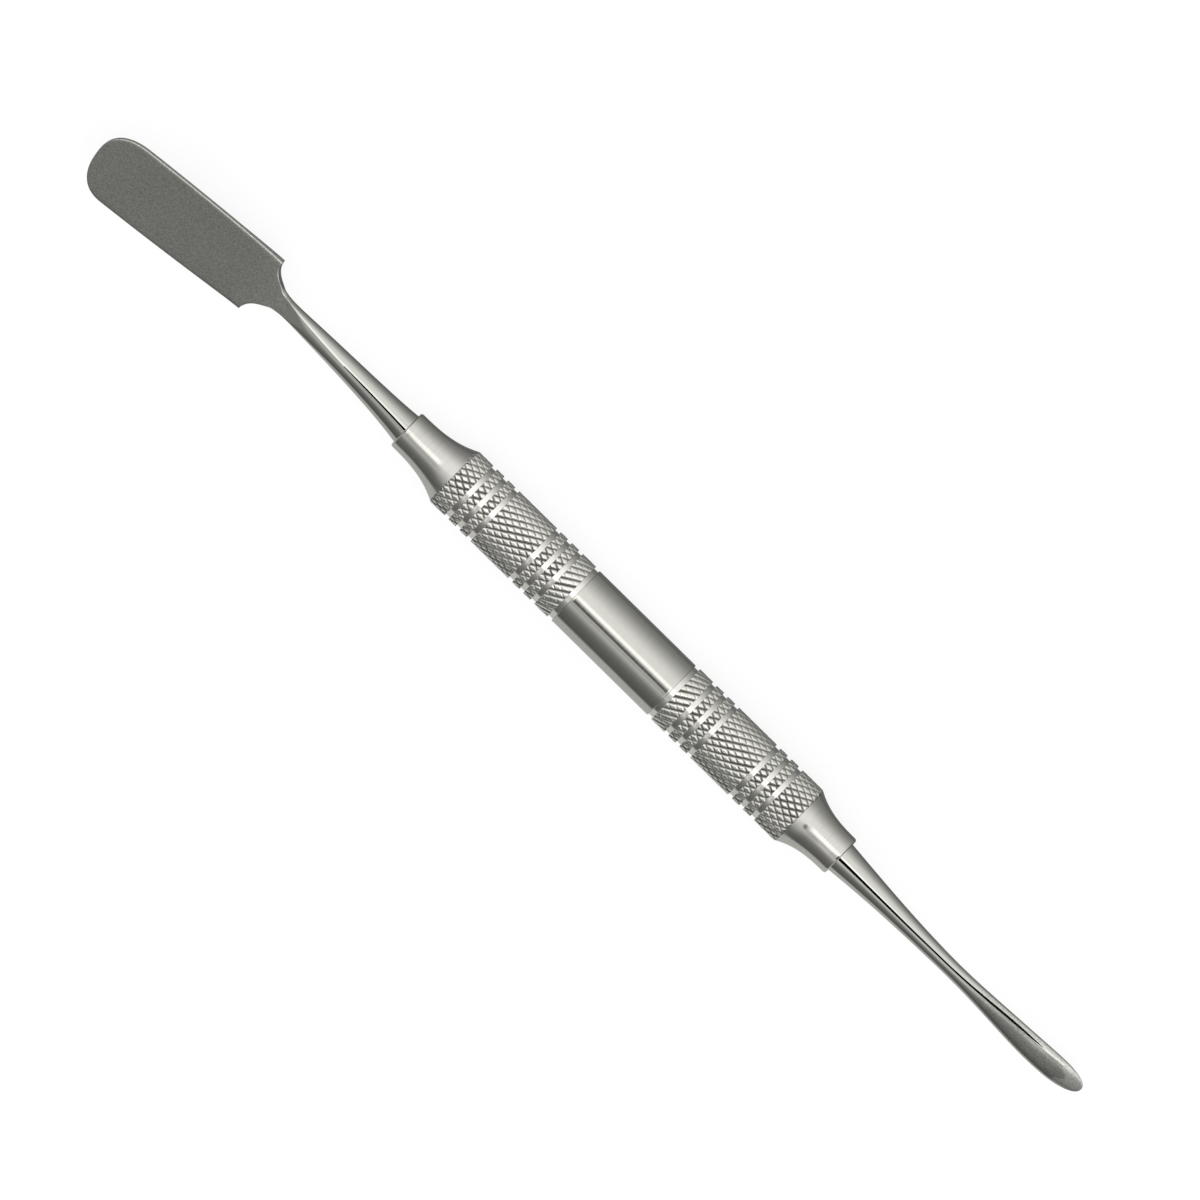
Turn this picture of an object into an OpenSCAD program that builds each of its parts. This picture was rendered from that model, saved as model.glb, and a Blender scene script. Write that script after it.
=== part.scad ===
// Double-ended hand instrument: a broad flat spatula at one end, a slim leaf-shaped
// elevator at the other, and a hollow knurled handle between them. Millimetres.
// The origin is the handle's centre, on its axis. +X points to the spatula, and +Z is
// the side that the spatula bends towards. The instrument is symmetric in Y, except that
// the spatula's round end leans a little to -Y.

/* [Handle] */
// Length of the handle from collar face to collar face
handle_len = 83; // [80:0.5:90]
// Diameter over the knurled lands
grip_d = 9.56; // [9.2:0.02:10.4]
// Diameter of the smooth centre band
band_d = 9.4; // [9:0.02:9.5]
// Length of the smooth centre band
band_len = 18.4; // [16:0.1:20]
// Diameter at the bottom of the turned grooves
groove_d = 8.84; // [8.4:0.02:9.1]
// Width of a turned groove
groove_w = 0.73; // [0.6:0.01:0.9]
// Width of a narrow knurled ring
ring_w = 1.38; // [1.2:0.01:1.5]
// Length of the knurled land next to the centre band
inner_land = 2.5; // [2:0.01:3]
// Length of the long knurled land in the middle of each grip
long_land = 7.21; // [6:0.01:8]
// Length of the last knurled land on the spatula's grip
spatula_end_land = 2.6; // [2:0.1:3.5]
// Length of the last knurled land on the elevator's grip
elevator_end_land = 3.8; // [2:0.1:4.5]
// Diameter of the collar that holds the spatula
spatula_collar_d = 6.1; // [5.6:0.1:7]
// Diameter of the collar that holds the elevator
elevator_collar_d = 6.3; // [5.6:0.1:7]
// How quickly the hollow cone drops from the knurl, 1 for a straight cone
cone_power = 2.75; // [1:0.05:4]

/* [Inside the handle] */
// Bore of each hollow grip
grip_bore_d = 7; // [6:0.1:7.4]
// Length of the spigot that the centre band presses into each grip
spigot_len = 5; // [3:0.5:7]
// Bore through the centre band
band_bore_d = 5; // [3:0.1:5.5]
// Diameter of the tang of each tip, and of its socket
tang_d = 4.4; // [3.6:0.1:4.6]
// Depth of the socket in each grip
socket_len = 13.5; // [8:0.5:16]

/* [Spatula] */
// Distance from the handle's centre to the spatula's end
spatula_reach = 97.8; // [94:0.1:104]
// Length of the blade from its shoulders to its end
blade_len = 28.5; // [26:0.05:31]
// Blade width at its shoulders
blade_base_w = 9.78; // [8:0.05:10]
// Greatest blade width
blade_w = 10.76; // [10:0.02:11]
// Blade thickness at its shoulders
blade_base_t = 1.04; // [0.8:0.02:1.8]
// Blade thickness over most of its length
blade_end_t = 0.62; // [0.5:0.02:1.2]
// How far each side leans in from the back to the front face
side_lean = 0.2; // [0:0.01:0.3]
// Length of the round end
blade_round = 5.3; // [4:0.1:6]
// How far the round end leans to one side, as a slope
end_skew = 0.145; // [0:0.005:0.2]
// Angle of the blade's face to the handle's axis
blade_tilt = 14.6; // [8:0.1:18]
// Diameter of the shank at the collar
spatula_root_d = 4.82; // [4.6:0.02:5.2]
// Diameter of the neck
spatula_neck_d = 2.63; // [2.3:0.01:3]

/* [Elevator] */
// Distance from the handle's centre to the elevator's point
elevator_reach = 87; // [84:0.1:92]
// Greatest width of the leaf
leaf_w = 3.9; // [3.2:0.02:4.6]
// Thickness of the leaf where it is flattened
leaf_t = 1.66; // [1.2:0.02:2.3]
// Length of the rounded point beyond the widest place
leaf_point = 6; // [5:0.1:8]
// Diameter of the shank at the collar
elevator_root_d = 4.77; // [4.7:0.01:5.2]
// Diameter of the neck
elevator_neck_d = 2.42; // [2.1:0.01:2.7]

/* [Hidden] */

$fn = 96;
sides = 36;                                 // points round each lofted section
half_handle = handle_len / 2;
chamfer = 0.15;                             // broken edges on turned parts
weld = 0.3;                                 // overlap of a tang with its shank

// Spatula: places along X
blade_x = spatula_reach - blade_len;        // the blade's shoulders
round_x = spatula_reach - blade_round;      // where its round end begins
neck_x = blade_x - 6.35;                    // the narrowest place
fillet_x = blade_x - 5.5;                   // where the shoulder fillets begin
square_x = blade_x - 3.1;                   // where the section begins to turn square
neck_r = spatula_neck_d / 2;
sag = 0.8;                                  // how far the shank drops below the axis
sag_x = 60;                                 // where it has dropped that far
bend_x0 = blade_x - 5;                      // the blade's bend: start and end
bend_x1 = blade_x + 2.8;
tilt = tan(blade_tilt);
dip_x = blade_x - 4.15;                     // the lowest place of the front face
dip_z = 0.66 - sag;
dip_slope = 0.15;                           // how the face rises out of the shank
dip_round = 1.2;                            // and how gently it turns at the lowest place
soft_shank = 0.6;                           // soft edge of the front face on the shank
soft_blade = 0.05;                          // and on the blade
round_power = 2.48;                         // a little squarer than an ellipse
blade_power = 16;                           // a nearly rectangular section
edge_t = 0.3;                               // thickness left at the blade's end

// Elevator: distances from the handle's centre
leaf_x = elevator_reach - leaf_point;       // the widest place
elevator_neck_x = leaf_x - 18;
flat_x0 = elevator_neck_x - 7;              // where the rod begins and ends flattening
flat_x1 = leaf_x - 6;
thin_x = leaf_x - 3;                        // where it begins to thin towards the point
root_rise = 0.13;                           // height of the shank at the collar
rise = 0.66;                                // height of the neck above the axis
droop_x = leaf_x - 6;                       // where the leaf begins to curve down
droop = 0.0108;                             // how fast it does so
leaf_face = 0.05;                           // how much is ground off the leaf's front
leaf_soft = 0.15;                           // soft edge of that flat
point_power = 2.3;

function clamp01(t) = min(1, max(0, t));
function part_way(x, x0, x1) = clamp01((x - x0) / (x1 - x0));
function mix(a, b, t) = a + (b - a) * t;
function ease(t) = t * t * (3 - 2 * t);
function spow(s, p) = sign(s) * pow(abs(s), p);
function soft_min(a, b, s) = min(a, b) - pow(max(s - abs(a - b), 0), 2) / (4 * s);
function sum_to(v, n) = n <= 0 ? 0 : v[n - 1] + sum_to(v, n - 1);

// ---- Handle ----------------------------------------------------------------

// Knurled lands of one grip, from the centre band outwards
function grip_lands(end_land) = [inner_land, ring_w, ring_w, long_land, ring_w, ring_w, end_land];

function land_start(lands, i) =
    band_len / 2 + (i + 1) * groove_w + sum_to(lands, i);

// Radius of the hollow cone, t = 0 at the knurl and 1 at the collar
function cone_r(t, collar_d) =
    mix(collar_d / 2, grip_d / 2, pow(1 - t, cone_power));

// Half section of a grip: [radius, distance from the handle's centre]
function grip_outline(lands, collar_d) =
    let (last = len(lands) - 1,
         cone_x = land_start(lands, last) + lands[last],
         steps = 18)
    concat(
        [[grip_bore_d / 2, band_len / 2], [groove_d / 2, band_len / 2]],
        [for (i = [0 : last])
            let (x = land_start(lands, i))
            each [[groove_d / 2, x], [grip_d / 2, x], [grip_d / 2, x + lands[i]],
                  if (i < last) [groove_d / 2, x + lands[i]]]],
        [for (k = [1 : steps - 1])
            [cone_r(k / steps, collar_d), mix(cone_x, half_handle - chamfer, k / steps)]],
        [[collar_d / 2, half_handle - chamfer], [collar_d / 2 - chamfer, half_handle],
         [tang_d / 2, half_handle], [tang_d / 2, half_handle - socket_len],
         [grip_bore_d / 2, half_handle - socket_len]]);

module grip(end_land, collar_d) {
    rotate([0, 90, 0])
        rotate_extrude()
            polygon(grip_outline(grip_lands(end_land), collar_d));
}

module spatula_grip() {
    color("silver")
        grip(spatula_end_land, spatula_collar_d);
}

module elevator_grip() {
    color("silver")
        mirror([1, 0, 0])
            grip(elevator_end_land, elevator_collar_d);
}

// Smooth sleeve with a spigot at each end, bored through
module centre_band() {
    half = band_len / 2;
    r = band_d / 2;
    spigot_r = grip_bore_d / 2;
    color("gainsboro")
        rotate([0, 90, 0])
            difference() {
                union() {
                    rotate_extrude()
                        polygon([[0, -half], [r - chamfer, -half], [r, chamfer - half],
                                 [r, half - chamfer], [r - chamfer, half], [0, half]]);
                    cylinder(r = spigot_r, h = band_len + 2 * spigot_len, center = true);
                }
                cylinder(d = band_bore_d, h = band_len + 4 * spigot_len, center = true);
            }
}

// ---- Lofted tips -----------------------------------------------------------

// Solid through sections of equal point count, given from low X to high X
module loft(sections) {
    n = len(sections[0]);
    m = len(sections);
    points = [for (s = sections) each s];
    skin = [for (i = [0 : m - 2], j = [0 : n - 1])
        let (a = i * n + j, b = i * n + (j + 1) % n)
        each [[a, a + n, b + n], [a, b + n, b]]];
    start_cap = [for (j = [0 : n - 1]) j];
    end_cap = [for (j = [n - 1 : -1 : 0]) (m - 1) * n + j];
    polyhedron(points, concat(skin, [start_cap, end_cap]));
}

// Section at x: half width a, centre height zc, half depth b, ground flat at z_top with
// soft edges. A power of 2 is an ellipse, and a higher power is squarer. The sides lean in
// by lean above their lower part.
function section(x, a, b, zc, z_top, soft, power = 2, lean = 0) =
    [for (j = [0 : sides - 1])
        let (phi = 360 * j / sides,
             z = soft_min(z_top, zc + b * spow(sin(phi), 2 / power), soft),
             up = part_way(z, zc - 0.4 * b, zc + b))
        [x, (a - lean * pow(up, 1.3)) * spow(cos(phi), 2 / power), z]];

module tang() {
    start = half_handle - socket_len;
    r = tang_d / 2;
    rotate([0, 90, 0])
        rotate_extrude()
            polygon([[0, start], [r - 2 * chamfer, start], [r, start + 2 * chamfer],
                     [r, half_handle + weld], [0, half_handle + weld]]);
}

// Spatula: radius or half width, middle height, half depth and front face along X
function spatula_shank_r(x) =
    let (t = part_way(x, half_handle, neck_x))
    mix(neck_r, spatula_root_d / 2, 0.65 * (1 - t) + 0.35 * pow(1 - t, 5));

function fillet_half_w(x) =
    let (q = part_way(x, fillet_x, blade_x))
    mix(neck_r, blade_base_w / 2, 1 - sqrt(1 - q * q));

function blade_half_w(x) =
    let (t = part_way(x, blade_x, round_x))
    mix(blade_base_w, blade_w, 1 - pow(1 - t, 2)) / 2;

function spatula_half_w(x) =
    x < neck_x ? spatula_shank_r(x)
    : x < blade_x ? fillet_half_w(x)
    : blade_half_w(x);

function spatula_mid_z(x) =
    let (dip = -sag * (1 - pow(1 - part_way(x, half_handle, sag_x), 2)),
         s = min(x, bend_x1) - bend_x0,
         bend = s <= 0 ? 0 : tilt * s * s / (2 * (bend_x1 - bend_x0)),
         straight = max(0, x - bend_x1) * tilt)
    dip + bend + straight;

// How far the section has changed from the round neck to the flat blade
function flattening(x) = ease(pow(part_way(x, neck_x, blade_x), 1.3));

function spatula_half_t(x) =
    x < neck_x ? spatula_shank_r(x)
    : x < blade_x ? mix(neck_r, blade_base_t / 2, flattening(x))
    : mix(blade_end_t, blade_base_t, pow(1 - part_way(x, blade_x, round_x), 5)) / 2;

// The front face runs off the blade, dips at the neck and rises out of the shank
function spatula_face_z(x) =
    x < dip_x ? dip_z + dip_slope * (norm([dip_x - x, dip_round]) - dip_round)
    : let (blade_face = spatula_mid_z(max(x, bend_x1)) + spatula_half_t(max(x, bend_x1)))
      mix(dip_z, blade_face, pow(part_way(x, dip_x, bend_x1), 2));

// Softness of the front face's edges
function spatula_soft(x) = mix(soft_shank, soft_blade, part_way(x, neck_x - 3.5, neck_x + 2));

function spatula_section(x) =
    section(x, spatula_half_w(x), spatula_half_t(x), spatula_mid_z(x), spatula_face_z(x),
            spatula_soft(x), mix(2, blade_power, ease(part_way(x, square_x, blade_x + 0.3))),
            side_lean * part_way(x, square_x, blade_x));

// Round end at an angle from 0, where it begins, to 90 at the very end. It leans to -Y.
function spatula_end_section(angle) =
    let (x = round_x + blade_round * pow(sin(angle), 2 / round_power),
         half_t = mix(edge_t, blade_end_t, pow(cos(angle), 0.6)) / 2,
         zc = spatula_mid_z(x),
         flat = section(x, blade_w / 2 * pow(cos(angle), 2 / round_power), half_t, zc,
                        zc + half_t, soft_blade, blade_power, side_lean * cos(angle)),
         lean = end_skew * sin(angle))
    [for (p = flat) [p[0] - lean * p[1], p[1], p[2] - lean * p[1] * tilt]];

module spatula_tip() {
    shank = [for (i = [0 : 13]) spatula_section(mix(half_handle, neck_x - 3, i / 13))];
    face = [for (i = [1 : 5]) spatula_section(mix(neck_x - 3, neck_x, i / 5))];
    neck = [for (i = [1 : 13]) spatula_section(mix(neck_x, blade_x, sin(90 * i / 13)))];
    blade = [for (i = [1 : 8]) spatula_section(mix(blade_x, round_x, i / 8))];
    end = [for (i = [1 : 11]) spatula_end_section(88 * i / 11)];
    color("darkgray") {
        tang();
        loft(concat(shank, face, neck, blade, end));
    }
}

// Elevator: the same, with x measured from the handle's centre towards its point
function elevator_shank_r(x) =
    mix(elevator_neck_d, elevator_root_d,
        pow(1 - part_way(x, half_handle, elevator_neck_x), 1.75)) / 2;

function elevator_half_w(x) =
    x < elevator_neck_x ? elevator_shank_r(x)
    : mix(elevator_neck_d, leaf_w, ease(part_way(x, elevator_neck_x, leaf_x - 0.5))) / 2;

function elevator_half_t(x) =
    let (q = part_way(x, thin_x, elevator_reach + 0.05),
         flat = mix(1, leaf_t / elevator_neck_d, ease(part_way(x, flat_x0, flat_x1))))
    elevator_shank_r(x) * flat * sqrt(1 - q * q);

function elevator_mid_z(x) =
    mix(root_rise, rise, ease(part_way(x, half_handle, elevator_neck_x)))
    - droop * pow(max(0, x - droop_x), 2);

// Its front is ground a little flat, more and more from the neck to the leaf
function elevator_section(x, narrowing = 1) =
    let (half_t = elevator_half_t(x),
         ground = leaf_face * part_way(x, elevator_neck_x, flat_x1),
         soft = leaf_soft * part_way(x, elevator_neck_x - 1, flat_x1) + 0.001,
         off = mix(soft, -ground, part_way(x, elevator_neck_x, flat_x1)))
    section(x, elevator_half_w(x) * narrowing, half_t, elevator_mid_z(x),
            elevator_mid_z(x) + half_t + off, soft);

module elevator_tip() {
    shank = [for (i = [0 : 12]) elevator_section(mix(half_handle, elevator_neck_x, i / 12))];
    leaf = [for (i = [1 : 14]) elevator_section(mix(elevator_neck_x, leaf_x, i / 14))];
    point = [for (i = [1 : 12])
        let (angle = 88 * i / 12)
        elevator_section(leaf_x + leaf_point * pow(sin(angle), 2 / point_power),
                         pow(cos(angle), 2 / point_power))];
    color("lightgray")
        mirror([1, 0, 0]) {
            tang();
            loft(concat(shank, leaf, point));
        }
}

spatula_tip();
spatula_grip();
centre_band();
elevator_grip();
elevator_tip();
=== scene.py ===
import math

import bpy
import numpy as np
from mathutils import Matrix, Vector


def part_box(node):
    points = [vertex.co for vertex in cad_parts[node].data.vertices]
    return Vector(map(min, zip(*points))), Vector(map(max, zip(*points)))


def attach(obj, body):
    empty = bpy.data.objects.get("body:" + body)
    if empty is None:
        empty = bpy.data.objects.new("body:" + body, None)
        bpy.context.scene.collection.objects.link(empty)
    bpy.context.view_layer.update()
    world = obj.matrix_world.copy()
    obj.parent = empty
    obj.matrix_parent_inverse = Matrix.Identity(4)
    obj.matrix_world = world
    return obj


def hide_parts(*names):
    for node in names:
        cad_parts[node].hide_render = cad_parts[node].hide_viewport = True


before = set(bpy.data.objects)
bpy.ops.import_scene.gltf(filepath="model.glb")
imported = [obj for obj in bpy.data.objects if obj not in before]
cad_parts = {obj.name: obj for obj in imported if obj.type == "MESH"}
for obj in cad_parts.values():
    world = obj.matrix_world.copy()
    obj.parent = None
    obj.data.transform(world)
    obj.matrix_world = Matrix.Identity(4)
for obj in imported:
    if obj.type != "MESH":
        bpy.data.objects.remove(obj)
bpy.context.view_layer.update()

MM = 0.001


def clamp01(t):
    return min(1.0, max(0.0, t))


def part_way(x, a, b):
    return clamp01((x - a) / (b - a))


def mix(a, b, t):
    return a + (b - a) * t


def ease(t):
    return t * t * (3 - 2 * t)


def spow(v, p):
    return np.sign(v) * np.abs(v) ** p


# ---- Sizes, in millimetres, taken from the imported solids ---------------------

def span(node):
    low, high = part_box(node)
    return np.array(low) / MM, np.array(high) / MM


grip_low, grip_high = span("spatula_grip")
band_high = span("centre_band")[1]

HALF = grip_high[0]                        # collar face
CREST = grip_high[1]                       # radius over the knurl
BAND_HALF = grip_low[0]                    # end of the smooth band
BAND_R = band_high[1]
SPIGOT_END = band_high[0]
GROOVE_R = 4.42                            # floors of the turned grooves between the lands
GROOVE_W = 0.73
RING_W = 1.38                              # each of the four narrow lands
INNER_LAND = 2.5                           # land beside the band
LONG_LAND = 7.21
END_LAND = {"spatula": 2.6, "elevator": 3.8}    # land beside the cone
COLLAR_R = {"spatula": 3.05, "elevator": 3.15}
COLLAR_ROUND = 0.35                        # radius of the collar's corner
CONE_POWER = 2.75                          # how fast the hollow cone falls away
BORE_R = 3.5                               # inside of the grips
BAND_BORE_R = 2.5
BAND_EDGE = 0.15                           # radius of the band's corners
SPIGOT_BEVEL = 0.2                         # at the ends of the band's spigots
TANG_R = 2.2
TANG_PLAY = 0.02                           # the tangs are this much under their sockets
TANG_POINT = 0.3                           # bevel at the end of a tang
SOCKET = HALF - 13.5                       # depth that the tangs reach to


# ---- Mesh helpers ------------------------------------------------------------

def make_object(name, verts, faces, slot, nodes, material, sharp=32):
    mesh = bpy.data.meshes.new(name)
    mesh.from_pydata([tuple(v) for v in np.asarray(verts) * MM], [], faces)
    mesh.validate()
    mesh.update()
    obj = bpy.data.objects.new(name, mesh)
    bpy.context.scene.collection.objects.link(obj)
    mesh.polygons.foreach_set("use_smooth", [True] * len(mesh.polygons))
    mesh.set_sharp_from_angle(angle=math.radians(sharp))
    mesh.materials.append(material)
    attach(obj, "root")
    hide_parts(*nodes)
    return obj


def tube_faces(rings, columns, closed=False):
    """Quads between neighbouring rings of points. closed joins the last ring to the first."""
    faces = []
    last = rings if closed else rings - 1
    for i in range(last):
        a, b = i * columns, ((i + 1) % rings) * columns
        for j in range(columns):
            k = (j + 1) % columns
            faces.append((a + j, b + j, b + k, a + k))
    return faces


# ---- Knurled grips -----------------------------------------------------------

STARTS = 26                                # grooves round the handle in each direction
PITCH = 1.675                              # distance between grooves along the axis
STEPS = 14                                 # mesh steps across one groove's period
DEEP = (0.22, 3.6 / STEPS)                 # depth, and half width as a part of the period
SHALLOW = (0.20, 3.0 / STEPS)
CROWN = 0.02                               # how far a ridge rounds off beside a groove
WOBBLE = 0.10                              # how unevenly deep the grooves are
CELLS = 400                                # lengths of groove with a depth of their own
LAND_EDGE = 0.035                          # broken corner of a land
FLOOR_RISE, FLOOR_FILLET = 0.02, 0.06      # where a groove's floor meets its walls
LANDING = 0.12                             # part of the cone that the knurl runs out into
rng = np.random.default_rng(7)
UNEVEN = rng.uniform(-1, 1, (2, CELLS, STARTS))


def corner(x, r, radius, angles):
    """Points round the outer corner at (x, r) of a face that looks along +X. 0 degrees is on the
    side and 90 on the face."""
    return [(x - radius * (1 - math.sin(math.radians(a))), r - radius * (1 - math.cos(math.radians(a))))
            for a in angles]


def second_share(x):
    """The second family of grooves is only scratched in beside the centre band, is lighter on
    the long land, and deepens outwards."""
    out = abs(x) - BAND_HALF
    rings = ease(part_way(out, 2.4, 4.0))
    land = part_way(out, 8.2, 9.2) * (1 - part_way(out, 15.4, 16.2))
    return mix(0.22, mix(0.95, 0.62, land), rings)


def knurl_depth(x, k):
    """Depth of the knurl at x for each of the columns k."""
    turn = k / STEPS
    depth = np.zeros(len(k))
    cell = int(abs(x) / PITCH * 2) % CELLS
    families = ((1, DEEP, 1.0), (-1, SHALLOW, second_share(x)))
    for family, (sign, (deep, half_w), share) in enumerate(families):
        phase = turn + sign * x / PITCH
        start = np.round(phase)
        off = np.abs(phase - start)
        wobble = 1 + WOBBLE * UNEVEN[family, cell, start.astype(int) % STARTS]
        side = CROWN * np.clip(1 - (off - half_w) / (0.5 - half_w), 0, 1) ** 2
        cut = np.where(off <= half_w, CROWN + (deep * wobble - CROWN) * (1 - off / half_w), side)
        depth = np.maximum(depth, share * cut)
    return depth


def grip(side):
    """One knurled half of the handle, from the band outwards along the axis and back inside."""
    sign = 1 if side == "spatula" else -1
    lands = [INNER_LAND, RING_W, RING_W, LONG_LAND, RING_W, RING_W, END_LAND[side]]
    columns = STARTS * STEPS
    k = np.arange(columns)
    phi = 2 * math.pi * k / columns
    step = PITCH / STEPS
    wall_r = GROOVE_R + FLOOR_RISE
    rings = []                             # (x, array of radii)
    knurls = []                            # for each ring: is it knurled?

    def ring(x, r, knurled=False):
        rings.append((x, np.broadcast_to(r, (columns,)).copy()))
        knurls.append(knurled)

    ring(BAND_HALF, BORE_R)
    ring(BAND_HALF, GROOVE_R)
    for i, land in enumerate(lands):
        x0 = BAND_HALF + GROOVE_W * (i + 1) + sum(lands[:i])
        x1 = x0 + land
        ring(x0 - FLOOR_FILLET, GROOVE_R)
        ring(x0, wall_r)
        inside = np.arange(math.ceil((x0 + 0.03) / step), (x1 - 0.03) / step) * step
        for xk in np.concatenate(([x0, x0 + LAND_EDGE], inside[inside > x0 + LAND_EDGE + 0.02])):
            drop = LAND_EDGE if xk == x0 else 0
            ring(xk, np.maximum(CREST - drop - knurl_depth(sign * xk, k), wall_r), True)
        if i < len(lands) - 1:
            ring(x1 - LAND_EDGE, CREST - knurl_depth(sign * (x1 - LAND_EDGE), k), True)
            ring(x1, np.maximum(CREST - LAND_EDGE - knurl_depth(sign * x1, k), wall_r))
            ring(x1, wall_r)
            ring(x1 + FLOOR_FILLET, GROOVE_R)
    # the hollow cone: the knurl's valleys run out into it
    cone_x = x1
    cone_len = HALF - COLLAR_ROUND - cone_x
    collar = COLLAR_R[side]
    for t in np.concatenate((np.linspace(0, LANDING, 12), np.linspace(0.15, 1, 44))):
        xk = cone_x + cone_len * t
        r = mix(collar, CREST, (1 - t) ** CONE_POWER)
        cut = CREST - knurl_depth(sign * xk, k)
        ring(xk, np.minimum(r, cut), t < LANDING)
    for x, r in corner(HALF, collar, COLLAR_ROUND, (30, 60, 90)):
        ring(x, r)
    ring(HALF, TANG_R)
    ring(SOCKET, TANG_R)
    ring(SOCKET, BORE_R)
    verts = np.concatenate([
        np.column_stack((np.full(columns, sign * x), r * np.cos(phi), r * np.sin(phi)))
        for x, r in rings])
    n = len(rings)
    faces = []
    for i in range(n):
        a, b = i * columns, ((i + 1) % n) * columns
        xm = (rings[i][0] + rings[(i + 1) % n][0]) / 2
        if knurls[i] and knurls[(i + 1) % n]:
            # split each cell along the groove that it lies in
            turn = (k + 0.5) / STEPS
            up = turn + sign * xm / PITCH
            down = turn - sign * xm / PITCH
            du = DEEP[0] * (1 - np.abs(up - np.round(up)) / DEEP[1])
            dd = second_share(xm) * SHALLOW[0] * (1 - np.abs(down - np.round(down)) / SHALLOW[1])
            along_up = du >= dd
            for j in range(columns):
                m = (j + 1) % columns
                # a cell's corners: a+j (x0, k), b+j (x1, k), b+m (x1, k+1), a+m (x0, k+1)
                if along_up[j] == (sign > 0):
                    faces.append((a + j, b + j, a + m))
                    faces.append((b + j, b + m, a + m))
                else:
                    faces.append((a + j, b + j, b + m))
                    faces.append((a + j, b + m, a + m))
        else:
            for j in range(columns):
                m = (j + 1) % columns
                faces.append((a + j, b + j, b + m, a + m))
    if sign > 0:
        faces = [f[::-1] for f in faces]
    return verts, faces


# ---- Turned centre band --------------------------------------------------------

def revolve(profile, columns):
    """Closed solid from a closed outline of (x, radius) that never touches the axis."""
    phi = 2 * math.pi * np.arange(columns) / columns
    verts = np.concatenate([
        np.column_stack((np.full(columns, x), r * np.cos(phi), r * np.sin(phi)))
        for x, r in profile])
    return verts, tube_faces(len(profile), columns, closed=True)


def band():
    end = corner(BAND_HALF, BAND_R, BAND_EDGE, (0, 22, 45, 68, 90))
    end += [(BAND_HALF, BORE_R), (SPIGOT_END - SPIGOT_BEVEL, BORE_R), (SPIGOT_END, BORE_R - SPIGOT_BEVEL),
            (SPIGOT_END, BAND_BORE_R)]
    middle = [(x, BAND_R) for x in np.linspace(-BAND_HALF + 2 * BAND_EDGE, BAND_HALF - 2 * BAND_EDGE, 40)]
    verts, faces = revolve([(-x, r) for x, r in reversed(end)] + middle + end, 256)
    return verts, [f[::-1] for f in faces]


# ---- Spatula -------------------------------------------------------------------

REACH = 97.8                               # end of the blade
BLADE_X = REACH - 28.5                     # where the blade starts
ROUND = 5.3                                # length of the rounded end
ROUND_X = REACH - ROUND
ROUND_GAP = 0.006                          # keeps the end inside the CAD solid's
ROUND_POWER = 2.48                         # 2 would make the end an ellipse
NECK_X = BLADE_X - 6.35                    # where the shank is thinnest
FILLET_X = BLADE_X - 5.5                   # where it starts to widen into the blade
SQUARE_X = BLADE_X - 3.1                   # where its section starts to turn square
NECK_R, ROOT_R = 1.315, 2.41               # shank at the neck and at the collar
BASE_W, BLADE_W = 9.78, 10.735             # blade at its shoulders and at its widest
BASE_T, END_T, EDGE_T = 1.04, 0.62, 0.3    # thickness at the shoulders, far on, and at the end
LEAN = 0.2                                 # how far each side leans in towards the front
SKEW = 0.145                               # slope of the rounded end's lean to -Y
SAG, SAG_X = 0.8, 60.0                     # how far the shank drops, and by where
BEND0, BEND1 = BLADE_X - 5, BLADE_X + 2.8  # the bend's start and end
TILT = math.tan(math.radians(14.6))        # slope of the blade past the bend
DIP_X, DIP_Z = BLADE_X - 4.15, 0.66 - SAG  # where the front is ground lowest
DIP_SLOPE, DIP_ROUND = 0.15, 1.2
SOFT_SHANK, SOFT_BLADE, SOFT_END = 0.6, 0.03, 0.05    # softness of the front's edges
SQUARE = 16.0                              # squareness of the blade's section, where 2 is round


def shank_r(x):
    t = part_way(x, HALF, NECK_X)
    return mix(NECK_R, ROOT_R, 0.65 * (1 - t) + 0.35 * (1 - t) ** 5)


def spatula_half_w(x):
    if x < NECK_X:
        return shank_r(x)
    if x < BLADE_X:
        q = part_way(x, FILLET_X, BLADE_X)
        return mix(NECK_R, BASE_W / 2, 1 - math.sqrt(1 - q * q))
    return mix(BASE_W, BLADE_W, 1 - (1 - part_way(x, BLADE_X, ROUND_X)) ** 2) / 2


def spatula_mid_z(x):
    dip = -SAG * (1 - (1 - part_way(x, HALF, SAG_X)) ** 2)
    s = min(x, BEND1) - BEND0
    bend = 0 if s <= 0 else TILT * s * s / (2 * (BEND1 - BEND0))
    return dip + bend + max(0, x - BEND1) * TILT


def flattening(x):
    return ease(part_way(x, NECK_X, BLADE_X) ** 1.3)


def spatula_half_t(x):
    if x < NECK_X:
        return shank_r(x)
    if x < BLADE_X:
        return mix(NECK_R, BASE_T / 2, flattening(x))
    return mix(END_T, BASE_T, (1 - part_way(x, BLADE_X, ROUND_X)) ** 5) / 2


def spatula_face_z(x):
    if x < DIP_X:
        return DIP_Z + DIP_SLOPE * (math.hypot(DIP_X - x, DIP_ROUND) - DIP_ROUND)
    far = max(x, BEND1)
    return mix(DIP_Z, spatula_mid_z(far) + spatula_half_t(far), part_way(x, DIP_X, BEND1) ** 2)


def spatula_soft(x):
    return mix(SOFT_SHANK, SOFT_BLADE, part_way(x, NECK_X - 3.5, NECK_X + 2))


TOP, REST = 41, 140                        # points across the front face, and round the rest


def soft_min(a, b, s):
    return np.minimum(a, b) - np.maximum(s - np.abs(a - b), 0) ** 2 / (4 * s)


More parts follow.
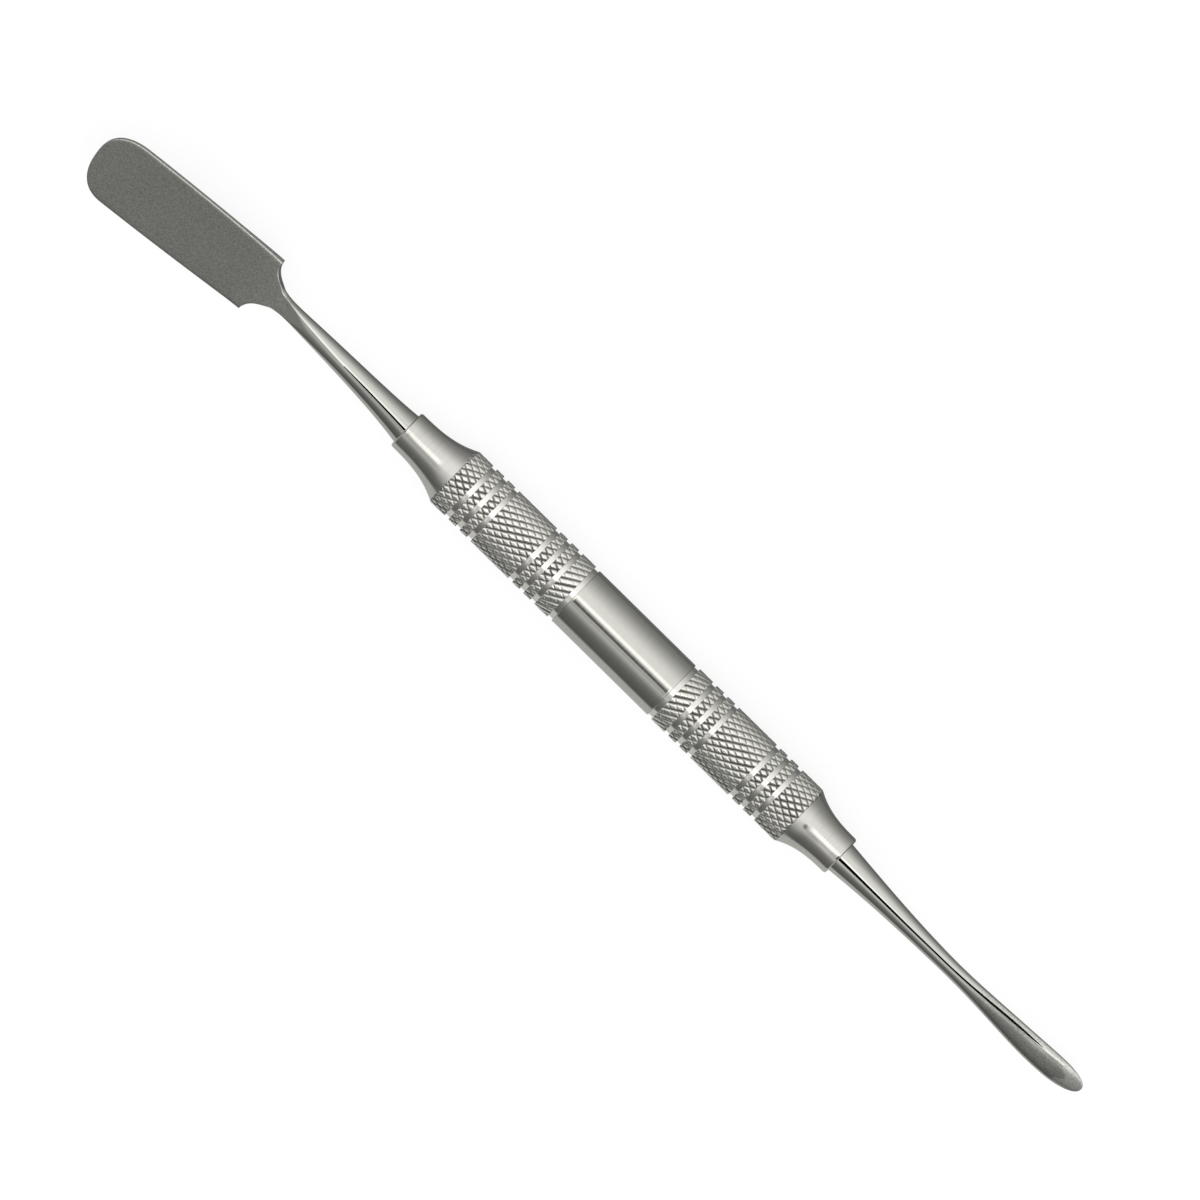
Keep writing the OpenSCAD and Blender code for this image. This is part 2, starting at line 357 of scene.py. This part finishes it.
def faced_section(x, a, b, zc, z_face, soft, power, lean=0.0):
    """Closed section ground flat at z_face with soft edges, whose edges are always the same
    points. The sides lean in by lean above their lower part."""
    ratio = min(max((z_face - zc) / b, 0.0), 0.99)
    cut = math.asin(ratio ** (power / 2))
    # round the rest: from the +Y edge down, under and up to the -Y edge
    ang = cut - np.linspace(0, 1, REST) * (math.pi + 2 * cut)
    round_z = zc + b * spow(np.sin(ang), 2 / power)
    round_y = a * spow(np.cos(ang), 2 / power)
    # front: from the -Y edge across to the +Y edge
    w = np.linspace(-1, 1, TOP + 2)[1:-1] * round_y[0]
    top_z = zc + b * (1 - np.clip(np.abs(w) / a, 0, 1) ** power) ** (1 / power)
    y = np.concatenate((round_y, w))
    z = soft_min(z_face, np.concatenate((round_z, top_z)), soft)
    up = np.clip((z - zc + 0.1 * b) / (1.1 * b), 0, 1)
    y = y * (1 - lean * up ** 1.3 / a)
    return np.column_stack((np.full(len(y), x), y, z))


def circle_section(x, r, z=0.0):
    """The same points round a plain circle."""
    return faced_section(x, r, r, z, z + 10, 0.01, 2)


def tang():
    """Stations (x, radius) along a tang, from its end to the collar's face."""
    r = TANG_R - TANG_PLAY
    return [(SOCKET, TANG_R - TANG_POINT), (SOCKET + TANG_POINT, r), (HALF, r)]


def loft(sections):
    """Closed solid through the sections, with a flat cap at each end."""
    n, m = len(sections[0]), len(sections)
    verts = np.concatenate(sections)
    faces = tube_faces(m, n)
    faces.append(tuple(range(n)))
    faces.append(tuple(m * n - 1 - j for j in range(n)))
    return verts, faces


def spatula():
    out = [circle_section(x, r) for x, r in tang()]
    xs = list(np.linspace(HALF, NECK_X - 7, 32))
    xs += list(np.linspace(NECK_X - 7, NECK_X, 50)[1:])
    xs += [mix(NECK_X, BLADE_X, math.sin(math.pi / 2 * i / 70)) for i in range(1, 71)]
    xs += list(np.linspace(BLADE_X, BEND1, 20)[1:])
    xs += list(np.linspace(BEND1, ROUND_X, 24)[1:])
    for x in xs:
        out.append(faced_section(x, spatula_half_w(x), spatula_half_t(x), spatula_mid_z(x),
                                 spatula_face_z(x), spatula_soft(x),
                                 mix(2, SQUARE, ease(part_way(x, SQUARE_X, BLADE_X + 0.3))),
                                 LEAN * part_way(x, SQUARE_X, BLADE_X)))
    for i in range(1, 49):
        angle = math.radians(89.2) * i / 48
        x = ROUND_X + (ROUND - ROUND_GAP) * math.sin(angle) ** (2 / ROUND_POWER)
        half_t = mix(EDGE_T, END_T, math.cos(angle) ** 0.6) / 2
        zc = spatula_mid_z(x)
        flat = faced_section(x, BLADE_W / 2 * math.cos(angle) ** (2 / ROUND_POWER), half_t, zc,
                             zc + half_t, SOFT_END, SQUARE, LEAN * math.cos(angle))
        lean = SKEW * math.sin(angle)
        flat[:, 0] -= lean * flat[:, 1]
        flat[:, 2] -= lean * flat[:, 1] * TILT
        out.append(flat)
    return loft(out)


# ---- Elevator --------------------------------------------------------------------

E_REACH = 87.0                             # the elevator's point
POINT = 6.0                                # length of the leaf's pointed end
LEAF_X = E_REACH - POINT                   # where the leaf is widest
NOSE_X = 84.3                              # where the point's flat bevel starts
NOSE_T = 0.16                              # thickness left at the point, as a part
POINT_POWER = 2.3                          # 2 would make the point's outline an ellipse
E_NECK_X = LEAF_X - 18                     # where the shank is thinnest
FLAT_X = LEAF_X - 6                        # from where the leaf's face is at its widest
E_ROOT_D, E_NECK_D, LEAF_W, LEAF_T = 4.77, 2.42, 3.9, 1.66
LEAF_FACE, LEAF_SOFT = 0.05, 0.15          # depth ground off the face, and softness of its edges
RISE_ROOT, RISE_NECK = 0.13, 0.66          # height of the centre line at the collar and neck
DROOP = 0.0108                             # curve of the leaf away from its front


def elevator_r(x):
    return mix(E_NECK_D, E_ROOT_D, (1 - part_way(x, HALF, E_NECK_X)) ** 1.75) / 2


def elevator_half_w(x):
    if x < E_NECK_X:
        return elevator_r(x)
    return mix(E_NECK_D, LEAF_W, ease(part_way(x, E_NECK_X, LEAF_X - 0.5))) / 2


def elevator_half_t(x):
    q = part_way(min(x, NOSE_X), LEAF_X - 3, E_REACH + 0.05)
    flat = mix(1, LEAF_T / E_NECK_D, ease(part_way(x, E_NECK_X - 7, FLAT_X)))
    return elevator_r(x) * flat * mix(math.sqrt(1 - q * q), NOSE_T, part_way(x, NOSE_X, E_REACH))


def elevator_mid_z(x):
    rise = mix(RISE_ROOT, RISE_NECK, ease(part_way(x, HALF, E_NECK_X)))
    return rise - DROOP * max(0, x - FLAT_X) ** 2


def elevator():
    columns = 160
    ang = 2 * math.pi * np.arange(columns) / columns

    def oval(x, a, b, zc, ground=None):
        z = zc + b * np.sin(ang)
        if ground:
            z = soft_min(zc + b + ground[0], z, ground[1])
        return np.column_stack((np.full(columns, -x), a * np.cos(ang), z))

    out = [oval(x, r, r, 0) for x, r in tang()]
    straight = np.concatenate((np.linspace(HALF, E_NECK_X, 50), np.linspace(E_NECK_X, LEAF_X, 90)[1:]))
    stations = [(x, 1.0) for x in straight]
    for i in range(1, 65):
        angle = math.radians(88.9) * i / 64
        stations.append((LEAF_X + (POINT - 0.01) * math.sin(angle) ** (2 / POINT_POWER),
                         math.cos(angle) ** (2 / POINT_POWER)))
    for x, narrowing in stations:
        soft = LEAF_SOFT * part_way(x, E_NECK_X - 1, FLAT_X) + 0.001
        off = mix(soft, -LEAF_FACE, part_way(x, E_NECK_X, FLAT_X))
        half_w = elevator_half_w(x) * narrowing
        out.append(oval(x, half_w, elevator_half_t(x), elevator_mid_z(x), (off, soft)))
    return loft(out)


# ---- Node trees --------------------------------------------------------------------

class Tree:
    """A node tree to build. Every input is a number, a colour or another node's output."""

    def __init__(self, tree):
        self.nodes, self.links = tree.nodes, tree.links
        self.nodes.clear()

    def add(self, kind, inputs=None, **settings):
        made = self.nodes.new("ShaderNode" + kind)
        for key, value in settings.items():
            setattr(made, key, value)
        for key, value in (inputs or {}).items():
            if isinstance(value, bpy.types.NodeSocket):
                self.links.new(value, made.inputs[key])
            else:
                made.inputs[key].default_value = value
        return made

    def maths(self, operation, *values):
        return self.add("Math", dict(enumerate(values)), operation=operation).outputs[0]

    def remap(self, value, a, b, low=0.0, high=1.0, smooth=True):
        """Goes from low at a to high at b, and stays there past them."""
        inputs = {"Value": value, "From Min": a, "From Max": b, "To Min": low, "To Max": high}
        kind = "SMOOTHSTEP" if smooth else "LINEAR"
        return self.add("MapRange", inputs, interpolation_type=kind).outputs[0]

    def inside(self, value, a, b, c, d):
        """1 between b and c, 0 outside a and d."""
        return self.maths("MULTIPLY", self.remap(value, a, b), self.remap(value, c, d, 1.0, 0.0))

    def blend(self, factor, a, b):
        inputs = {"Factor": factor, "A": a, "B": b}
        return self.add("Mix", inputs, data_type="RGBA").outputs["Result"]

    def shaded(self, colour, factor):
        return self.add("VectorMath", {0: colour, "Scale": factor}, operation="SCALE").outputs[0]


def new_material(name):
    material = bpy.data.materials.new(name)
    material.use_nodes = True
    return material, Tree(material.node_tree)


# ---- Materials -------------------------------------------------------------------

BLOTCH_SCALE, SPECKLE_SCALE = 60, 4200     # of cloudy patches, and of the satin's fine dots
GRAIN_DEPTH = 0.00001
VALLEY_PAINTED_SHADE, VALLEY_COVER, VALLEY_ROUGH = 0.16, 0.92, 0.10    # painted shade in the knurl's valleys, and their added roughness
NOSE_ROUGH, NOSE_PAINTED_SHEEN = 0.24, 0.15        # what the bevel round the point adds: roughness, and a painted lighter sheen
TURNED = (9000, 300, 300)                  # grain in rings round the axis
LONG = (300, 9000, 9000)                   # grain along the axis


def steel(name, light, dark, rough, rough_var, grain_scale, grain_bump,
          valley=None, satin=None, zones=(), nose=False):
    """Stainless steel. grain_scale stretches a fine noise: big along the way the grain is cut
    across. valley = (radius, radius, |X|) paints shade between the radii and makes it duller,
    up to |X|. satin = (strength, from |X|, to |X|) adds a fine speckle. zones = (from |X|, to |X|,
    roughness added, painted shade). nose dulls the bevel round the elevator's point and paints a lighter
    sheen on it."""
    material, tree = new_material(name)
    maths, shaded = tree.maths, tree.shaded
    place = tree.add("TexCoord").outputs["Object"]
    split = tree.add("SeparateXYZ", {0: place})
    y, z = split.outputs["Y"], split.outputs["Z"]
    away = maths("ABSOLUTE", split.outputs["X"])

    def along(x0, x1, low, high):
        """A value that goes from low at |X| = x0 to high at x1."""
        return tree.remap(away, x0 * MM, x1 * MM, low, high)

    cloud = tree.add("TexNoise", {"Vector": place, "Scale": BLOTCH_SCALE, "Detail": 4}).outputs["Fac"]
    stretched = tree.add("Mapping", {"Vector": place, "Scale": grain_scale}).outputs[0]
    grain = tree.add("TexNoise", {"Vector": stretched, "Scale": 1, "Detail": 3, "Roughness": 0.6})
    grain = grain.outputs["Fac"]
    tone = tree.remap(maths("ADD", cloud, grain), 0.7, 1.3, smooth=False)
    colour = tree.blend(tone, (*dark, 1), (*light, 1))
    gloss = tree.remap(grain, 0, 1, rough - rough_var, rough + rough_var, smooth=False)

    if satin:
        strength, x0, x1 = satin
        dots = tree.add("TexNoise", {"Vector": place, "Scale": SPECKLE_SCALE, "Detail": 1}).outputs["Fac"]
        spread = maths("MULTIPLY", maths("SUBTRACT", dots, 0.5), 5 * strength)
        spread = maths("MULTIPLY", spread, along(x0, x1, 0, 1))
        colour = shaded(colour, maths("ADD", spread, 1.0))
    if nose:
        # outside an outline like the point's own, but smaller
        ahead = maths("MAXIMUM", maths("SUBTRACT", away, LEAF_X * MM), 0.0)
        ahead = maths("POWER", maths("DIVIDE", ahead, POINT * MM), 2.0)
        aside = maths("POWER", maths("DIVIDE", y, LEAF_W / 2 * MM), 2.0)
        bevel = maths("MULTIPLY", tree.remap(maths("ADD", ahead, aside), 0.28, 0.33),
                      along(NOSE_X - 1.7, NOSE_X - 0.9, 0, 1))
        gloss = maths("MULTIPLY_ADD", bevel, NOSE_ROUGH, gloss)
        # painted highlight: the bevel's colour is made lighter for the light it catches
        colour = shaded(colour, maths("MULTIPLY_ADD", bevel, NOSE_PAINTED_SHEEN, 1.0))
    # each zone is rougher, and its colour darker as painted shade for the darker light it mirrors
    for x0, x1, duller_by, shade in zones:
        gloss = maths("ADD", gloss, along(x0, x1, 0, duller_by))
        colour = shaded(colour, along(x0, x1, 1, shade))
    if valley:
        low, high, end = valley
        radius = maths("SQRT", maths("ADD", maths("POWER", y, 2.0), maths("POWER", z, 2.0)))
        valley_depth = tree.remap(radius, high * MM, low * MM, smooth=False)
        # only where the knurl is, and not on the floors of the turned grooves
        knurled = maths("LESS_THAN", away, (end + 0.3) * MM)
        above = maths("GREATER_THAN", radius, (GROOVE_R + 0.05) * MM)
        valley_depth = maths("MULTIPLY", valley_depth, maths("MULTIPLY", above, knurled))
        # painted shade: the colour is darkened down in the knurl's valleys, where shade falls between the
        # ridges; the added roughness is real
        valley_shadow_colour = tuple(VALLEY_PAINTED_SHADE * c for c in dark)
        colour = tree.blend(maths("MULTIPLY", valley_depth, VALLEY_COVER), colour, (*valley_shadow_colour, 1))
        gloss = maths("MULTIPLY_ADD", valley_depth, VALLEY_ROUGH, gloss)

    bump = tree.add("Bump", {"Strength": grain_bump, "Distance": GRAIN_DEPTH, "Height": grain})
    shader = tree.add("BsdfPrincipled", {"Metallic": 1, "Base Color": colour, "Roughness": gloss,
                                         "Normal": bump.outputs[0]})
    tree.add("OutputMaterial", {0: shader.outputs[0]})
    return material


def grip_steel(side):
    """Knurled and bright, with a duller cone darkened by painted shade."""
    end = BAND_HALF + 7 * GROOVE_W + INNER_LAND + 4 * RING_W + LONG_LAND + END_LAND[side]
    # the cone's zone: rougher, and darker by painted shade
    return steel("steel_knurled_" + side, (0.97, 0.96, 0.92), (0.82, 0.82, 0.78), 0.06, 0.02, TURNED, 0.0,
                 valley=(CREST - 0.20, CREST - 0.02, end), zones=[(end, end + 0.4, 0.065, 0.76)])


def band_steel():
    return steel("steel_band", (0.72, 0.715, 0.68), (0.63, 0.63, 0.60), 0.05, 0.015, TURNED, 0.0)


def spatula_steel():
    # the blade is darker by painted shade, for the dark studio its face mirrors
    return steel("steel_spatula", (0.68, 0.68, 0.65), (0.60, 0.605, 0.575), 0.04, 0.015, LONG, 0.03,
                 satin=(0.2, BLADE_X - 6, BLADE_X - 4), zones=[(BLADE_X - 3, BLADE_X, 0.03, 0.96)])


def elevator_steel():
    # the leaf is darker by painted shade, for the dark studio its face mirrors
    return steel("steel_elevator", (0.70, 0.70, 0.67), (0.62, 0.62, 0.59), 0.03, 0.01, LONG, 0.01,
                 satin=(0.18, 66, 70), zones=[(66, 72, 0.05, 0.85)], nose=True)


# ---- Pieces ----------------------------------------------------------------------

for side in ("spatula", "elevator"):
    make_object("grip_" + side, *grip(side), "knurled_steel", [side + "_grip"], grip_steel(side), sharp=28)
make_object("band", *band(), "band_steel", ["centre_band"], band_steel())
make_object("blade_and_shank", *spatula(), "spatula_steel", ["spatula_tip"], spatula_steel(), sharp=20)
make_object("leaf_and_shank", *elevator(), "elevator_steel", ["elevator_tip"], elevator_steel())


# ---- Floor -----------------------------------------------------------------------

def add_mesh(name, verts, faces, material):
    mesh = bpy.data.meshes.new(name)
    mesh.from_pydata(verts, [], faces)
    mesh.materials.append(material)
    obj = bpy.data.objects.new(name, mesh)
    bpy.context.scene.collection.objects.link(obj)
    return obj


FLOOR = 3.0                                # half its width, in metres
floor_z = -CREST * MM - 0.00002
paper, tree = new_material("floor_paper")
shader = tree.add("BsdfPrincipled", {
    "Base Color": (0.16, 0.16, 0.16, 1), "Emission Color": (1, 1, 1, 1), "Emission Strength": 0.84,
    "Roughness": 0.9, "Specular IOR Level": 0.1})
tree.add("OutputMaterial", {0: shader.outputs[0]})
corners = [(x * FLOOR, y * FLOOR, floor_z)
           for x, y in ((-1, -1), (1, -1), (1, 1), (-1, 1))]
floor = add_mesh("floor", corners, [(0, 1, 2, 3)], paper)
floor.visible_glossy = False


# ---- The studio that the steel mirrors ---------------------------------------------

# Light by direction. Angles go round the handle's axis: 0 is the -Y horizon, 90 straight up, 180
# the +Y horizon. A row is (angle, screen grey of a polished surface): MIDDLE for directions square
# to the handle, and SIDES for those that lean along it.
START = -115
MIDDLE = [(-115, 80), (-84, 100), (-76, 92), (-69, 88), (-55, 109), (-32, 128), (-14, 152), (2, 176),
          (10, 187), (17, 198), (31, 214), (45, 219), (58, 224), (72, 222), (80, 190), (87, 165),
          (92, 154), (99, 170), (106, 148), (115, 118), (126, 100), (136, 91), (158, 79), (165, 84),
          (171, 142), (175, 162), (225, 160)]
SIDES = [(-115, 80), (-84, 98), (-70, 92), (-50, 107), (-25, 136), (-12, 158), (0, 178), (12, 198),
         (25, 214), (40, 222), (58, 224), (68, 222), (76, 212), (84, 200), (92, 190), (100, 176),
         (112, 156), (125, 130), (137, 104), (150, 90), (163, 98), (171, 148), (185, 158), (225, 160)]

world = bpy.data.worlds.new("studio")
bpy.context.scene.world = world
world.use_nodes = True
tree = Tree(world.node_tree)
maths = tree.maths


def linear(grey):
    v = grey / 255
    return v / 12.92 if v < 0.04045 else ((v + 0.055) / 1.055) ** 2.4


def ramp(turn, stops):
    made = tree.add("ValToRGB", {0: turn})
    elements = made.color_ramp.elements
    while len(elements) > 1:
        elements.remove(elements[-1])
    for i, (angle, grey) in enumerate(stops):
        position = (angle - START) / 360
        stop = elements[0] if i == 0 else elements.new(position)
        stop.position = position
        value = linear(grey)
        stop.color = (value, value * 0.995, value * 0.97, 1)
    return made.outputs[0]


split = tree.add("SeparateXYZ", {0: tree.add("TexCoord").outputs["Generated"]})
along_x = split.outputs["X"]
across = maths("ABSOLUTE", along_x)
turn = maths("ARCTAN2", split.outputs["Z"], maths("MULTIPLY", split.outputs["Y"], -1.0))
turn = maths("WRAP", maths("MULTIPLY_ADD", turn, 180 / math.pi, -START), 360.0, 0.0)
angle = maths("ADD", turn, START)
turn = maths("DIVIDE", turn, 360.0)
studio = tree.blend(tree.remap(across, 0.42, 0.72), ramp(turn, MIDDLE), ramp(turn, SIDES))

# the lamp's bright core, which is narrower for what has no taper
flat_on = tree.remap(across, 0.006, 0.016, 1.0, 0.0)
core_end = maths("MULTIPLY_ADD", flat_on, -9.0, 75.0)
core = maths("MULTIPLY", tree.remap(angle, 55, 60),
             tree.remap(angle, core_end, maths("ADD", core_end, 4.0), 1.0, 0.0))
core = maths("MULTIPLY", core, tree.remap(across, 0.48, 0.56, 1.0, 0.0))
studio = tree.blend(core, studio, (1.02, 1.01, 0.985, 1))
# a grey fall beside the lamp for the untapered middle
fall = maths("MULTIPLY", tree.inside(angle, 66, 80, 84, 86.5), flat_on)
studio = tree.blend(fall, studio, (0.055, 0.055, 0.053, 1))
# and a glow past it, for directions that lean towards -X
towards = maths("MULTIPLY", along_x, -1.0)
glow = maths("MULTIPLY", tree.inside(angle, 85, 90, 98, 106), tree.inside(towards, 0.006, 0.03, 0.2, 0.3))
studio = tree.blend(maths("MULTIPLY", glow, 0.8), studio, (0.5, 0.5, 0.485, 1))

mirrored = tree.add("Background", {"Color": studio, "Strength": 1.45}).outputs[0]
plain = tree.add("Background", {"Color": (1, 1, 1, 1), "Strength": 0.95}).outputs[0]
glossy = tree.add("LightPath").outputs["Is Glossy Ray"]
light = tree.add("MixShader", {0: glossy, 1: plain, 2: mirrored})
tree.add("OutputWorld", {0: light.outputs[0]})

lamp = bpy.data.lights.new("softbox", "AREA")
lamp.shape = "SQUARE"
lamp.size = 0.5
lamp.energy = 2.2
softbox = bpy.data.objects.new("softbox", lamp)
softbox.visible_glossy = False
softbox.location = (-0.15, -0.35, 0.75)
softbox.rotation_euler = (-softbox.location).to_track_quat("-Z", "Y").to_euler()
bpy.context.scene.collection.objects.link(softbox)

# Black flags over the shanks, seen only in the steel: each draws a dark line along one shank.
# A row is (x, first angle, last angle), in millimetres and in degrees round the handle's axis.
FLAG_DISTANCE, FLAG_ANGLE = 15.0, 75.0
FLAGS = {
    "flag_elevator": [(-43.9, 69.1, 87.5), (-47.6, 69.1, 87.7), (-51, 67.7, 87.4), (-54.6, 64.2, 85.1),
                      (-56.5, 61.5, 82.3), (-58.6, 59, 79.6), (-60.7, 57.7, 78.4), (-66.6, 57.1, 78),
                      (-73.9, 55.4, 76.3), (-76.4, 55.6, 75.1), (-79.6, 59.3, 71.5), (-82.4, 64, 66)],
    "flag_spatula": [(46.6, 69, 82.2), (52.2, 68.8, 82.8), (55.5, 72, 80)]}
middle = math.radians(FLAG_ANGLE)
OUT_DIR = np.array((0, -math.cos(middle), math.sin(middle)))
SIDE_DIR = np.array((0, math.sin(middle), math.cos(middle)))
black, tree = new_material("flag_black")
# a flag is there only for the steel straight under it, so it leaves no mark on the far pieces
reach = tree.remap(tree.add("LightPath").outputs["Ray Length"], (FLAG_DISTANCE - 0.3) * MM,
                   (FLAG_DISTANCE + 0.3) * MM, smooth=False)
shader = tree.add("MixShader", {0: reach, 1: tree.add("Emission", {"Strength": 0}).outputs[0],
                                2: tree.add("BsdfTransparent").outputs[0]})
tree.add("OutputMaterial", {0: shader.outputs[0]})


def flag_point(x, angle):
    shift = math.tan(math.radians(angle - FLAG_ANGLE))
    return tuple((np.array((x, 0, 0)) + FLAG_DISTANCE * (OUT_DIR + shift * SIDE_DIR)) * MM)


for name, rows in FLAGS.items():
    points = [flag_point(x, angle) for x, first, last in rows for angle in (first, last)]
    faces = [(2 * i, 2 * i + 1, 2 * i + 3, 2 * i + 2) for i in range(len(rows) - 1)]
    flag = add_mesh(name, points, faces, black)
    flag.visible_camera = flag.visible_diffuse = flag.visible_shadow = flag.visible_transmission = False


# ---- Camera ----------------------------------------------------------------------

ROLL = math.radians(44.556)                # the handle's slope in the picture
RISE = math.radians(65)                    # the camera's height above the -Y horizon
FRAME = 0.1633                             # width of the picture at the object
DISTANCE = 6.0
RIGHT_BY, UP_BY = -0.003210, 0.005840      # where the camera aims, from the handle's centre
back = Vector((0, -math.cos(RISE), math.sin(RISE)))
along = Vector((0, -math.sin(RISE), -math.cos(RISE)))
right = -math.cos(ROLL) * Vector((1, 0, 0)) + math.sin(ROLL) * along
up = math.sin(ROLL) * Vector((1, 0, 0)) + math.cos(ROLL) * along
camera_data = bpy.data.cameras.new("camera")
camera_data.sensor_width = 36
camera_data.lens = 36 * DISTANCE / FRAME
camera_data.clip_end = 60
camera = bpy.data.objects.new("camera", camera_data)
bpy.context.scene.collection.objects.link(camera)
place = Matrix((right, up, back)).transposed().to_4x4()
place.translation = right * RIGHT_BY + up * UP_BY + back * DISTANCE
camera.matrix_world = place
bpy.context.scene.camera = camera
bpy.context.scene.view_settings.view_transform = "Standard"
bpy.context.scene.view_settings.look = "None"
